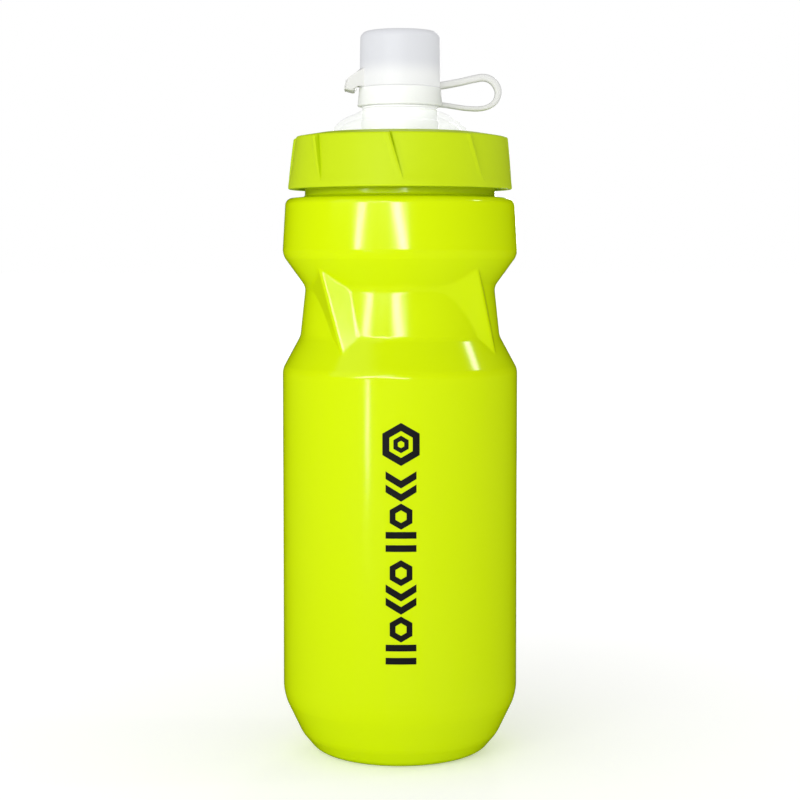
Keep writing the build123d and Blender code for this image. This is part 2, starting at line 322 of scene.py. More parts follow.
# ---------------------------------------------------------------------------
# Shared surface effects
# ---------------------------------------------------------------------------

def new_group(name, inputs, outputs):
    """An empty shader group with number inputs and outputs, and its end nodes."""
    group = bpy.data.node_groups.new(name, "ShaderNodeTree")
    for label, value in inputs:
        socket = group.interface.new_socket(name=label, in_out="INPUT", socket_type="NodeSocketFloat")
        socket.default_value = value
    for label in outputs:
        group.interface.new_socket(name=label, in_out="OUTPUT", socket_type="NodeSocketFloat")
    return group, group.nodes.new("NodeGroupInput"), group.nodes.new("NodeGroupOutput")


def make_moulded_grain():
    """The fine waviness of a moulded or blown skin: a height from two sizes of noise."""
    group, given, result = new_group(
        "moulded_grain", [("Wave Scale", 60.0), ("Grain Scale", 1500.0), ("Grain Share", 0.3)], ["Height"]
    )
    nodes, links = group.nodes, group.links
    place = nodes.new("ShaderNodeTexCoord")
    waves = nodes.new("ShaderNodeTexNoise")
    waves.inputs["Detail"].default_value = 1.0
    grain = nodes.new("ShaderNodeTexNoise")
    grain.inputs["Detail"].default_value = 3.0
    mix = nodes.new("ShaderNodeMix")
    links.new(place.outputs["Object"], waves.inputs["Vector"])
    links.new(place.outputs["Object"], grain.inputs["Vector"])
    links.new(given.outputs["Wave Scale"], waves.inputs["Scale"])
    links.new(given.outputs["Grain Scale"], grain.inputs["Scale"])
    links.new(given.outputs["Grain Share"], mix.inputs["Factor"])
    links.new(waves.outputs["Fac"], mix.inputs["A"])
    links.new(grain.outputs["Fac"], mix.inputs["B"])
    links.new(mix.outputs["Result"], result.inputs["Height"])
    return group


def make_handling_marks():
    """Where hands and the cage have dulled a surface: soft patches and fine upright rubs."""
    scales = [("Patch Scale", 25.0), ("Rub Scale", 400.0)]
    group, given, result = new_group("handling_marks", [*scales, ("Low", 0.3), ("High", 0.4)], ["Roughness"])
    nodes, links = group.nodes, group.links
    place = nodes.new("ShaderNodeTexCoord")
    patches = nodes.new("ShaderNodeTexNoise")
    patches.inputs["Detail"].default_value = 2.0
    stretch = nodes.new("ShaderNodeMapping")
    stretch.inputs["Scale"].default_value = (1, 1, 0.06)
    rubs = nodes.new("ShaderNodeTexNoise")
    rubs.inputs["Detail"].default_value = 4.0
    blend = nodes.new("ShaderNodeMath")
    blend.operation = "MULTIPLY"
    spread = nodes.new("ShaderNodeMapRange")
    spread.inputs["From Min"].default_value = 0.12
    spread.inputs["From Max"].default_value = 0.42
    links.new(place.outputs["Object"], patches.inputs["Vector"])
    links.new(place.outputs["Object"], stretch.inputs["Vector"])
    links.new(stretch.outputs["Vector"], rubs.inputs["Vector"])
    links.new(given.outputs["Patch Scale"], patches.inputs["Scale"])
    links.new(given.outputs["Rub Scale"], rubs.inputs["Scale"])
    links.new(patches.outputs["Fac"], blend.inputs[0])
    links.new(rubs.outputs["Fac"], blend.inputs[1])
    links.new(blend.outputs["Value"], spread.inputs["Value"])
    links.new(given.outputs["Low"], spread.inputs["To Min"])
    links.new(given.outputs["High"], spread.inputs["To Max"])
    links.new(spread.outputs["Result"], result.inputs["Roughness"])
    return group


def make_height_fade():
    """How far a point lies between two heights in metres, from 0 to 1."""
    group, given, result = new_group("height_fade", [("Low", 0.0), ("High", 0.2)], ["Share"])
    nodes, links = group.nodes, group.links
    place = nodes.new("ShaderNodeTexCoord")
    parts = nodes.new("ShaderNodeSeparateXYZ")
    spread = nodes.new("ShaderNodeMapRange")
    spread.interpolation_type = "SMOOTHSTEP"
    links.new(place.outputs["Object"], parts.inputs["Vector"])
    links.new(parts.outputs["Z"], spread.inputs["Value"])
    links.new(given.outputs["Low"], spread.inputs["From Min"])
    links.new(given.outputs["High"], spread.inputs["From Max"])
    links.new(spread.outputs["Result"], result.inputs["Share"])
    return group


GRAIN = make_moulded_grain()
MARKS = make_handling_marks()
FADE = make_height_fade()


# ---------------------------------------------------------------------------
# Finishes
# ---------------------------------------------------------------------------

def new_finish(name, colour, roughness, grain, bump, low_colour=None, fade=(0.0, 0.2), **settings):
    """A moulded finish: its colour, worn gloss and grain, with any painted glow that the settings give. A
    low colour fades in downwards, painted light where it is lighter.
    """
    material = bpy.data.materials.new(name)
    material.use_nodes = True
    nodes, links = material.node_tree.nodes, material.node_tree.links
    shader = nodes["Principled BSDF"]
    for label, value in settings.items():
        shader.inputs[label.replace("_", " ")].default_value = value
    marks = nodes.new("ShaderNodeGroup")
    marks.node_tree = MARKS
    marks.inputs["Low"].default_value, marks.inputs["High"].default_value = roughness
    links.new(marks.outputs["Roughness"], shader.inputs["Roughness"])
    skin = nodes.new("ShaderNodeGroup")
    skin.node_tree = GRAIN
    for label, value in zip(("Wave Scale", "Grain Scale", "Grain Share"), grain):
        skin.inputs[label].default_value = value
    relief = nodes.new("ShaderNodeBump")
    relief.inputs["Strength"].default_value = bump[0]
    relief.inputs["Distance"].default_value = bump[1]
    links.new(skin.outputs["Height"], relief.inputs["Height"])
    links.new(relief.outputs["Normal"], shader.inputs["Normal"])
    rise = nodes.new("ShaderNodeGroup")
    rise.node_tree = FADE
    rise.inputs["Low"].default_value, rise.inputs["High"].default_value = fade
    # Blends the low colour in by height: where it is lighter, as on the bottle and cap, it is painted light.
    painted_height_shading = nodes.new("ShaderNodeMix")
    painted_height_shading.data_type = "RGBA"
    painted_height_shading.inputs["A"].default_value = (*(low_colour or [0.97 * part for part in colour]), 1)
    painted_height_shading.inputs["B"].default_value = (*colour, 1)
    links.new(rise.outputs["Share"], painted_height_shading.inputs["Factor"])
    links.new(painted_height_shading.outputs["Result"], shader.inputs["Base Color"])
    return material


WHITE = (1, 1, 1, 1)

# The low colour is a lighter lime that fades in towards the foot: painted light that lifts the shade near
# the floor.
LIME_GLOSS = new_finish(
    "lime_gloss", (0.565, 0.728, 0.0), (0.12, 0.16), (60, 1400, 0.04), (0.12, 0.0002),
    low_colour=(0.57, 0.74, 0.0), fade=(0.0, 0.15), Specular_IOR_Level=0.45,
)
LIME_SATIN = new_finish(
    "lime_satin", (0.485, 0.635, 0.0), (0.45, 0.55), (120, 2600, 0.5), (0.2, 0.0001), Specular_IOR_Level=0.2
)
# The milky dome glows white: a painted glow that makes it brighter than its lighting does.
CLEAR_MILKY_GLOWING = new_finish(
    "clear_milky_painted_glow", (0.93, 0.96, 0.95), (0.1, 0.16), (80, 1200, 0.1), (0.15, 0.0002),
    Alpha=0.2, Emission_Color=WHITE, Emission_Strength=0.3,
)
# The cap glows white over a dark grey, and its lower part is painted lighter: painted light standing in for
# light that passes through the milky plastic.
CAP_MILKY_GLOWING = new_finish(
    "cap_milky_painted_glow", (0.30, 0.31, 0.34), (0.34, 0.42), (90, 2200, 0.4), (0.25, 0.0002),
    low_colour=(0.44, 0.445, 0.45), fade=(0.2105, 0.2165),
    Specular_IOR_Level=0.25, Emission_Color=WHITE, Emission_Strength=0.4,
)
# The soft white glows faintly: a painted glow that lifts the nozzle and tether ring out of shade.
SOFT_WHITE_GLOWING = new_finish(
    "soft_white", (0.83, 0.84, 0.83), (0.38, 0.48), (90, 2200, 0.5), (0.3, 0.0002),
    Emission_Color=WHITE, Emission_Strength=0.04,
)
STRAP_WHITE = new_finish("strap_white", (0.67, 0.67, 0.66), (0.36, 0.46), (90, 2200, 0.5), (0.3, 0.0002))
# The hard white glows: a painted glow that lifts the tubes and plug out of the shade under the ring.
HARD_WHITE_GLOWING = new_finish(
    "hard_white_painted_glow", (0.94, 0.945, 0.94), (0.22, 0.3), (80, 1800, 0.3), (0.2, 0.0002),
    Emission_Color=WHITE, Emission_Strength=0.13,
)
SEAL_RUBBER = new_finish("seal_rubber", (0.68, 0.69, 0.68), (0.55, 0.65), (100, 2400, 0.6), (0.35, 0.0003))
PRINT_INK = new_finish(
    "print_ink", (0.008, 0.008, 0.009), (0.3, 0.4), (150, 3000, 0.7), (0.25, 0.0001),
    Specular_IOR_Level=0.2,
)


# ---------------------------------------------------------------------------
# The bottle
# ---------------------------------------------------------------------------

RIDGE_FOOT = around(RIB_RIDGE_RADIUS, RIB_TOP_ANGLE + RIB_TWIST, RIB_FOOT)
RIDGE_HEAD = around(RIB_RIDGE_RADIUS, RIB_TOP_ANGLE, RIB_HEAD)


def ridge_at(height):
    """The point of the first rib's ridge at a height in millimetres."""
    return RIDGE_FOOT.lerp(RIDGE_HEAD, (height - RIB_FOOT) / (RIB_HEAD - RIB_FOOT))


def rib_faces(depth):
    """A point and an outward normal for each of a rib's two faces, moved in by a depth."""
    ridge = ridge_at(WAIST_TOP)
    run = RIDGE_HEAD - RIDGE_FOOT
    faces = []
    for arc, lift in ((-RIB_LEFT_ARC, 0.3), (RIB_RIGHT_ARC, -0.1)):
        crease = around(WAIST_RADIUS + lift, angle_of(ridge) + arc, WAIST_TOP)
        normal = run.cross(crease - ridge).normalized()
        if normal.dot(ridge) < 0:
            normal.negate()
        faces.append((ridge - normal * depth * MM, normal))
    return faces


def rib_reach(faces, angle, height):
    """How far from the axis a rib's faces lie at an angle and a height, in millimetres."""
    outward = around(1, angle, 0) / MM
    reach = []
    for point, normal in faces:
        facing = normal.dot(outward)
        if facing < 0.2:
            return 0
        reach.append(normal.dot(point - Vector((0, 0, height * MM))) / facing / MM)
    return -smooth_max(-reach[0], -reach[1], RIDGE_BLUNT)


def press_ribs(verts, depth):
    """Leans a turned skin's columns along the ribs, crowds them at the ridges and pushes the ribs out."""
    faces = rib_faces(depth)
    pitch = 360 / RIB_COUNT
    for vert in verts:
        radius, height = vert.co.xy.length / MM, vert.co.z / MM
        if radius < 1:
            continue
        phase = angle_of(vert.co) / pitch % 1
        crowded = phase - 0.6 * math.sin(FULL_TURN * phase) / FULL_TURN
        rib, offset = divmod(crowded + 0.5, 1)
        ridge_angle = angle_of(ridge_at(min(max(height, BARREL_TOP), BULGE_BOTTOM)))
        spread = (offset - 0.5) * pitch
        angle = ridge_angle + spread
        beyond = max(-spread - RIB_LEFT_ARC, spread - RIB_RIGHT_ARC, 1) - 1
        if BARREL_TOP - 4 < height < BULGE_BOTTOM + 4:
            reach = rib_reach(faces, angle, height) - RIB_SINK * beyond * beyond
            radius = smooth_max(radius, reach, CREASE_BLUNT)
        whole = math.floor(angle_of(vert.co) / pitch) + rib
        vert.co = around(radius, angle + whole * pitch, height)


def make_bottle():
    """The blown bottle, inside and out: barrel, ribbed waist, bulge, shoulder and screw neck."""
    outside = [
        (0, 4, 0),
        (18, 0, 6),
        (26, 0, 6),
        (31, 6, 10),
        (BODY_RADIUS, BASE_HEIGHT, 14),
        (BODY_RADIUS, BARREL_TOP, 5),
        (WAIST_FOOT_RADIUS, WAIST_BOTTOM, 5),
        (WAIST_RADIUS, WAIST_TOP, 3.5),
        (BODY_RADIUS, BULGE_BOTTOM, 5),
        (SHOULDER_RADIUS, SHOULDER_EDGE, 2.2),
        (NECK_RADIUS, NECK_BASE, 0.8),
    ]
    inside = inset([*outside, (NECK_RADIUS, NECK_RIM, 0)], WALL)[:-2]
    bm = bmesh.new()
    for outline, rim, depth in (
        (outside, (NECK_RADIUS, NECK_RIM, 0), 0),
        (inside, (MOUTH_RADIUS, NECK_RIM, 0), WALL),
    ):
        skin = bmesh.new()
        corners = [*outline, rim]
        if depth:
            corners.insert(-1, (MOUTH_RADIUS, NECK_BASE - WALL, 0.8))
        draw_wire(skin, corners, closed=False)
        split_edges(skin, BARREL_TOP - 3, BULGE_BOTTOM + 3, 1.5 if depth else 0.6)
        spin_round(skin, BODY_COLUMNS // 2 if depth else BODY_COLUMNS)
        press_ribs(skin.verts, depth)
        if depth:
            bmesh.ops.reverse_faces(skin, faces=skin.faces)
        add_mesh(bm, skin)
    rims = [edge for edge in bm.edges if edge.is_boundary]
    bmesh.ops.bridge_loops(bm, edges=rims)
    add_thread(bm, NECK_RADIUS, NECK_RADIUS + 1.3, 2.6, 1.4, NECK_THREAD_START)
    return make_piece("bottle_shell", bm, LIME_GLOSS, "bottle", ["bottle_body"], sharp=40)


# ---------------------------------------------------------------------------
# The lid ring
# ---------------------------------------------------------------------------

def press_blades(verts):
    """Leans the columns of the turned lid along its seams and cuts each blade back just past its seam."""
    arc = 360 / BLADE_COUNT
    step = 1 / BLADE_COLUMNS
    brink, groove, bead = 0.06, 0.3, 0.2
    seam = 0.88 * step
    crown_slope = 0.16
    for vert in verts:
        radius, height = vert.co.xy.length / MM, vert.co.z / MM
        rise = max(height - (LID_EDGE_TOP - BLADE_LENGTH), 0) / BLADE_LENGTH
        whole, phase = divmod(angle_of(vert.co) / arc + step / 10, 1)
        phase -= step / 10
        cut = 0
        if phase > step / 2:
            phase = (phase - seam) / (1 - seam)
            cut = 1 - phase + (groove if phase < step / 2 else 0)
        if phase < step / 2 and not cut:
            cut = brink
        if phase > 1 - 2.5 * step:
            cut -= bead
        if radius > LID_BORE + 0.7:
            crown = min(max(height - LID_EDGE_TOP + 1, 0), 1)
            radius -= BLADE_DEPTH * min(rise, 1) ** 0.6 * cut
            height += crown_slope * BLADE_DEPTH * cut * crown
        angle = BLADE_FIRST_ANGLE + BLADE_LEAN * (1 - rise) + (whole + phase) * arc
        vert.co = around(radius, angle, height)


def make_lid():
    """The screw ring: a tapered collar with ratchet blades and a crown that holds the insert down."""
    bm = bmesh.new()
    draw_wire(bm, [
        (LID_BORE, LID_BOTTOM, 0.4),
        (LID_RADIUS, LID_BOTTOM, 0.5),
        (LID_TOP_RADIUS, LID_EDGE_TOP, 0.7),
        (LID_CROWN_RADIUS, LID_CROWN, 1.0),
        (LID_HOLE_RADIUS, LID_CROWN - 0.5, 0.4),
        (LID_HOLE_RADIUS, LID_CEILING, 0.2),
        (LID_BORE, LID_CEILING, 0.4),
    ], closed=True)
    split_edges(bm, LID_BOTTOM + 1, LID_EDGE_TOP - 1, 0.8)
    spin_round(bm, BLADE_COUNT * BLADE_COLUMNS)
    press_blades(bm.verts)
    add_thread(bm, LID_BORE, NECK_RADIUS + 0.4, 2.2, 1.2, LID_THREAD_START)
    return make_piece("lid_collar", bm, LIME_SATIN, "lid", ["lid_ring"], sharp=30)


# ---------------------------------------------------------------------------
# The domed insert, its gasket and the plug in the middle
# ---------------------------------------------------------------------------

def make_gasket():
    """The flat rubber seal under the insert's flange, with a moulded bead round its face."""
    bore = SKIRT_RADIUS + 0.1
    middle = (bore + GASKET_RADIUS) / 2
    bm = turned([
        (bore, GASKET_BOTTOM, 0.2),
        (middle - 0.3, GASKET_BOTTOM, 0.1),
        (middle, GASKET_BOTTOM + 0.25, 0.2),
        (middle + 0.3, GASKET_BOTTOM, 0.1),
        (GASKET_RADIUS, GASKET_BOTTOM, 0.2),
        (GASKET_RADIUS, FLANGE_BOTTOM, 0.2),
        (bore, FLANGE_BOTTOM, 0.2),
    ])
    return make_piece("lid_gasket_ring", bm, SEAL_RUBBER, "insert", ["lid_gasket"])


def make_dome():
    """The clear insert: flange, skirt, riser and dome."""
    riser_bore = RISER_RADIUS - DOME_WALL
    skirt_bore = SKIRT_RADIUS - SKIRT_WALL
    skirt_bottom = FLANGE_BOTTOM - 3.8
    bm = turned([
        (GUIDE_RADIUS - 0.1, DOME_TOP - 2.1, 0.2),
        (DOME_BEND_RADIUS - 0.84, DOME_BEND_HEIGHT - DOME_WALL, 6),
        (riser_bore, RISER_TOP - 0.7, 1),
        (riser_bore, FLANGE_BOTTOM, 0.3),
        (skirt_bore, FLANGE_BOTTOM, 0.5),
        (skirt_bore, skirt_bottom, 0.2),
        (SKIRT_RADIUS, skirt_bottom, 0.4),
        (SKIRT_RADIUS, FLANGE_BOTTOM, 0.1),
        (FLANGE_RADIUS, FLANGE_BOTTOM, 0.2),
        (FLANGE_RADIUS, FLANGE_TOP, 0.3),
        (RISER_RADIUS, FLANGE_TOP, 0.2),
        (RISER_RADIUS, RISER_TOP, 2),
        (DOME_BEND_RADIUS, DOME_BEND_HEIGHT, 8),
        (GUIDE_RADIUS - 0.1, DOME_TOP, 0.3),
    ], columns=160)
    return make_piece("dome_shell", bm, CLEAR_MILKY_GLOWING, "insert", ["dome_insert"])


def make_guide():
    """The white tube in the middle of the dome, with a stop lip inside its mouth and a bead outside."""
    bm = turned([
        (GUIDE_BORE, INSERT_BOTTOM, 0.3),
        (GUIDE_RADIUS, INSERT_BOTTOM, 0.3),
        (GUIDE_RADIUS, DOME_TOP - 3.4, 0.2),
        (GUIDE_RADIUS - 0.35, DOME_TOP - 3.0, 0.2),
        (GUIDE_RADIUS - 0.35, GUIDE_TOP, 0.3),
        (GUIDE_BORE - STOP_LIP, GUIDE_TOP, 0.1),
        (GUIDE_BORE - STOP_LIP, STOP_BOTTOM, 0.1),
        (GUIDE_BORE, STOP_BOTTOM, 0.1),
    ])
    return make_piece("guide_tube", bm, HARD_WHITE_GLOWING, "insert", ["dome_insert"])


def make_plug():
    """The fixed plug that shuts the spout: a ring and three spokes, and a stem up to a rounded head."""
    ring_radius = GUIDE_BORE + 0.05
    ring_bore = ring_radius - 1.4
    ring_top = INSERT_BOTTOM + 2.8
    hub_radius = STEM_RADIUS + 1
    head_radius = ORIFICE_RADIUS - 0.3
    bm = turned([
        (0, INSERT_BOTTOM),
        (hub_radius, INSERT_BOTTOM, 0.5),
        (hub_radius, ring_top, 0.5),
        (STEM_RADIUS, ring_top + 1, 0.6),
        (STEM_RADIUS, POST_TOP - 4, 0.5),
        (head_radius, POST_TOP - 3, 0.4),
        (head_radius, POST_TOP, 1),
        (0, POST_TOP),
    ], closed=False, columns=64)
    rim = turned([
        (ring_bore, INSERT_BOTTOM, 0.3),
        (ring_radius, INSERT_BOTTOM, 0.2),
        (ring_radius, ring_top, 0.2),
        (ring_bore, ring_top, 0.3),
    ])
    add_mesh(bm, rim)
    length = ring_bore - hub_radius + 1
    for index in range(3):
        spoke = bmesh.new()
        made = bmesh.ops.create_cube(spoke, size=1)
        bmesh.ops.scale(spoke, verts=made["verts"], vec=Vector((length, 1.8, 2.6)) * MM)
        bmesh.ops.bevel(
            spoke, geom=spoke.edges[:], offset=0.3 * MM, offset_type="OFFSET", affect="EDGES",
            segments=3, profile=0.5, material=-1,
        )
        place = Vector((hub_radius + length / 2 - 0.5, 0, INSERT_BOTTOM + 1.4)) * MM
        bmesh.ops.translate(spoke, verts=spoke.verts, vec=place)
        turn = Matrix.Rotation(FULL_TURN / 3 * index, 3, "Z")
        bmesh.ops.rotate(spoke, verts=spoke.verts, cent=(0, 0, 0), matrix=turn)
        add_mesh(bm, spoke)
    return make_piece("spout_plug", bm, HARD_WHITE_GLOWING, "insert", ["valve_post"])


# ---------------------------------------------------------------------------
# The spout
# ---------------------------------------------------------------------------

def make_sleeve():
    """The sliding tube: a seal groove at its foot, a stop bead, and the tether's groove at its head."""
    seal_middle = (SEAL_BOTTOM + SEAL_TOP) / 2
    seat = SEAL_REACH - 1.2 - 0.02
    bead_top = STOP_BOTTOM - SPOUT_TRAVEL - 0.05
    bm = turned([
        (SLEEVE_BORE, SLEEVE_BOTTOM, 0.4),
        (SLEEVE_RADIUS, SLEEVE_BOTTOM, 0.4),
        (SLEEVE_RADIUS, seal_middle - 0.7, 0.1),
        (seat, seal_middle - 0.7, 0.1),
        (seat, seal_middle + 0.7, 0.1),
        (SLEEVE_RADIUS, seal_middle + 0.7, 0.1),
        (SLEEVE_RADIUS, bead_top, 0.15),
        (SLEEVE_RELIEF_RADIUS, bead_top, 0.2),
        (SLEEVE_RELIEF_RADIUS, LIP_BOTTOM, 0.15),
        (SLEEVE_LIP_RADIUS, LIP_BOTTOM, 0.15),
        (SLEEVE_LIP_RADIUS, GROOVE_BOTTOM, 0.15),
        (GROOVE_RADIUS, GROOVE_BOTTOM, 0.1),
        (GROOVE_RADIUS, NOZZLE_BOTTOM - 0.5, 0.1),
        (SNAP_RADIUS, NOZZLE_BOTTOM - 0.5, 0.15),
        (SNAP_RADIUS, NOZZLE_BOTTOM, 0.15),
        (SPIGOT_RADIUS, NOZZLE_BOTTOM, 0.1),
        (SPIGOT_RADIUS, SPIGOT_TOP, 0.2),
        (SLEEVE_BORE, SPIGOT_TOP, 0.2),
    ])
    return make_piece("spout_tube", bm, HARD_WHITE_GLOWING, "spout", ["spout_sleeve"])


def make_seal():
    """The rubber ring in the sleeve's lower groove."""
    section = 0.6
    bm = bmesh.new()
    made = bmesh.ops.create_circle(bm, cap_ends=False, radius=section * MM, segments=20)
    bmesh.ops.rotate(bm, verts=made["verts"], cent=(0, 0, 0), matrix=Matrix.Rotation(math.pi / 2, 3, "Y"))
    place = around(SEAL_REACH - section, 0, (SEAL_BOTTOM + SEAL_TOP) / 2)
    bmesh.ops.translate(bm, verts=made["verts"], vec=place)
    spin_round(bm, 128)
    return make_piece("spout_seal_ring", bm, SEAL_RUBBER, "spout", ["spout_seal"])


def make_nozzle():
    """The soft nozzle pressed over the sleeve's spigot, with a rolled lip round its mouth."""
    bore = SLEEVE_BORE - 0.6
    bm = turned([
        (SPIGOT_RADIUS, NOZZLE_BOTTOM, 0.1),
        (NOZZLE_RADIUS, NOZZLE_BOTTOM, 0.3),
        (NOZZLE_RADIUS, NOZZLE_BOTTOM + 1.2, 0.5),
        (NOZZLE_TIP_RADIUS, NOZZLE_TOP, 1.6),
        (ORIFICE_RADIUS, NOZZLE_TOP, 0.8),
        (ORIFICE_RADIUS, NOZZLE_TOP - 2, 0.3),
        (bore, NOZZLE_TOP - 2, 0.8),
        (bore, SPIGOT_TOP, 0.2),
        (SPIGOT_RADIUS, SPIGOT_TOP, 0.2),
    ])
    return make_piece("spout_nozzle", bm, SOFT_WHITE_GLOWING, "spout", ["mouthpiece"])


# ---------------------------------------------------------------------------
# The tether and the dust cap
# ---------------------------------------------------------------------------

def make_tether_ring():
    """The soft ring that turns in the spout's groove, flared towards its foot."""
    bm = turned([
        (TETHER_BORE, TETHER_BOTTOM, 0.2),
        (TETHER_RADIUS, TETHER_BOTTOM, 0.3),
        (TETHER_RADIUS - 0.15, TETHER_BOTTOM + 0.9, 0.4),
        (TETHER_RADIUS - 0.6, TETHER_TOP, 0.4),
        (TETHER_BORE, TETHER_TOP, 0.2),
    ])
    return make_piece("tether_collar", bm, SOFT_WHITE_GLOWING, "tether", ["tether_ring"])


def strap_line():
    """The strap's centreline, a smooth curve through its route, as points from the ring to the cap."""
    low = TETHER_BOTTOM + 0.6
    high = CAP_BOTTOM + 0.5
    lower_run = [(2.5, -0.4), (7.0, -1.2), (12.6, -1.4), (16.4, 0.4), (17.6, 3.9)]
    upper_run = [(16.1, 1.3), (13.2, 2.8), (9.7, 2.2), (4.3, 0.9)]
    route = [(TETHER_RADIUS - 0.8, low)]
    route += [(TETHER_RADIUS + reach, low + rise) for reach, rise in lower_run]
    route += [(TETHER_RADIUS + reach, high + rise) for reach, rise in upper_run]
    route.append((CAP_RADIUS - 0.4, high))
    curve = bpy.data.curves.new("strap_route", "CURVE")
    curve.dimensions = "3D"
    spline = curve.splines.new("NURBS")
    spline.points.add(len(route) - 1)
    for point, (radius, height) in zip(spline.points, route):
        point.co = (radius * MM, 0, height * MM, 1)
    spline.order_u = 3
    spline.use_endpoint_u = True
    spline.resolution_u = 8
    holder = bpy.data.objects.new("strap_route", curve)
    bpy.context.scene.collection.objects.link(holder)
    bpy.context.view_layer.update()
    line = bpy.data.meshes.new_from_object(holder)
    points = [vert.co.copy() for vert in line.vertices]
    bpy.data.objects.remove(holder)
    bpy.data.curves.remove(curve)
    bpy.data.meshes.remove(line)
    return points


def make_strap():
    """The flexible strap, a flat band in an open loop from the ring up to the cap."""
    points = strap_line()
    bm = bmesh.new()
    for index, point in enumerate(points):
        share = index / (len(points) - 1)
        before, after = points[max(index - 1, 0)], points[min(index + 1, len(points) - 1)]
        run = (after - before).normalized()
        side = Vector((0, 1, 0))
        across = run.cross(side)
        thickness = STRAP_THICKNESS + STRAP_THICKENING * min(max((share - 0.3) / 0.25, 0), 1)
        flare = 1 + 0.35 * max(1 - 12 * share, 12 * share - 11, 0)
        made = bmesh.ops.create_circle(bm, cap_ends=False, radius=1, segments=32)["verts"]
        for vert in made:
            turn = math.atan2(vert.co.y, vert.co.x)
            wide = math.copysign(abs(math.cos(turn)) ** 0.45, math.cos(turn)) * STRAP_WIDTH / 2 * flare
            high = math.copysign(abs(math.sin(turn)) ** 0.55, math.sin(turn)) * thickness / 2
            vert.co = point + (side * wide + across * high) * MM
    bmesh.ops.bridge_loops(bm, edges=bm.edges[:])
    ends = [edge for edge in bm.edges if edge.is_boundary]
    bmesh.ops.holes_fill(bm, edges=ends, sides=40)
    bmesh.ops.recalc_face_normals(bm, faces=bm.faces)
    strap = make_piece("tether_band", bm, STRAP_WHITE, None, ["tether_strap"], sharp=60)
    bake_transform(strap)
    return strap


def make_cap():
    """The dust cap, closed at the top; its finger tab low on its side is made apart. Its translucent look is
    painted light: a white glow over dark grey, lighter towards its foot.
    """
    bm = turned([
        (0, CAP_TOP),
        (CAP_RADIUS - CAP_DRAFT, CAP_TOP, 2.3),
        (CAP_RADIUS, CAP_BOTTOM, 0.25),
        (CAP_BORE, CAP_BOTTOM, 0.3),
        (CAP_BORE - CAP_DRAFT, CAP_TOP - CAP_ROOF, 1.1),
        (0, CAP_TOP - CAP_ROOF),
    ], closed=False, columns=160)
    return make_piece("dust_cap_shell", bm, CAP_MILKY_GLOWING, "dust_cap", ["dust_cap"])


def make_tab():
    """The finger tab, a soft-edged fin with grip ridges across its outer end."""
    root = CAP_RADIUS - 0.4
    bm = bmesh.new()
    outline = [
        (root, 5.9), (CAP_RADIUS + 3.6, 2.7), (CAP_RADIUS + 4.4, -0.9),
        (CAP_RADIUS + 1.8, -1.5), (CAP_RADIUS + 0.8, 0.1), (root, 0.1),
    ]
    corners = [
        bm.verts.new(Vector((-reach, -TAB_WIDTH / 2, CAP_BOTTOM + rise)) * MM) for reach, rise in outline
    ]
    side = bm.faces.new(corners)
    grown = bmesh.ops.extrude_face_region(bm, geom=[side])
    far = [item for item in grown["geom"] if isinstance(item, bmesh.types.BMVert)]
    bmesh.ops.translate(bm, verts=far, vec=(0, TAB_WIDTH * MM, 0))
    bmesh.ops.recalc_face_normals(bm, faces=bm.faces)
    outer = [edge for edge in bm.edges if max(vert.co.x for vert in edge.verts) < -(root + 0.2) * MM]
    bmesh.ops.bevel(
        bm, geom=outer, offset=0.6 * MM, offset_type="OFFSET", affect="EDGES",
        segments=4, profile=0.5, material=-1, clamp_overlap=True,
    )
    for across in range(-5, 6):
        geom = bm.verts[:] + bm.edges[:] + bm.faces[:]
        bmesh.ops.bisect_plane(bm, geom=geom, plane_co=(0, across * MM, 0), plane_no=(0, 1, 0), dist=1e-7)
    for vert in bm.verts:
        if vert.co.x > -(root + 0.02) * MM:
            vert.co.x = -math.sqrt((root * MM) ** 2 - vert.co.y ** 2)
    for index in range(GRIP_COUNT):
        share = (index + 0.5) / GRIP_COUNT
        spot = Vector((-(CAP_RADIUS + 3.85 + 0.7 * share), 0, CAP_BOTTOM + 2.2 - 3.2 * share)) * MM
        ridge = bmesh.ops.create_cone(
            bm, cap_ends=True, segments=12, radius1=GRIP_RADIUS * MM, radius2=GRIP_RADIUS * MM,
            depth=(TAB_WIDTH - 1.6) * MM,
        )["verts"]
        bmesh.ops.rotate(bm, verts=ridge, cent=(0, 0, 0), matrix=Matrix.Rotation(math.pi / 2, 3, "X"))
        bmesh.ops.translate(bm, verts=ridge, vec=spot)
    return make_piece("dust_cap_tab", bm, STRAP_WHITE, "dust_cap")


# ---------------------------------------------------------------------------
# The print on the front
# ---------------------------------------------------------------------------

def print_shape(bm, corners, place):
    """A flat printed shape from corners across and up, at a place in millimetres on the front."""
    verts = [bm.verts.new(Vector((place[0] + across, 0, place[1] + up)) * MM) for across, up in corners]
    bm.faces.new(verts)


def print_ring(bm, outer, width, place, sides):
    """A printed ring of so many sides."""
    loops = []
    for radius in (outer, outer - width):
        made = bmesh.ops.create_circle(bm, cap_ends=False, radius=radius * MM, segments=sides)["verts"]
        bmesh.ops.rotate(bm, verts=made, cent=(0, 0, 0), matrix=Matrix.Rotation(math.pi / 2, 3, "X"))
        bmesh.ops.translate(bm, verts=made, vec=Vector((place[0], 0, place[1])) * MM)
        loops += {edge for vert in made for edge in vert.link_edges}
    bmesh.ops.bridge_loops(bm, edges=loops)


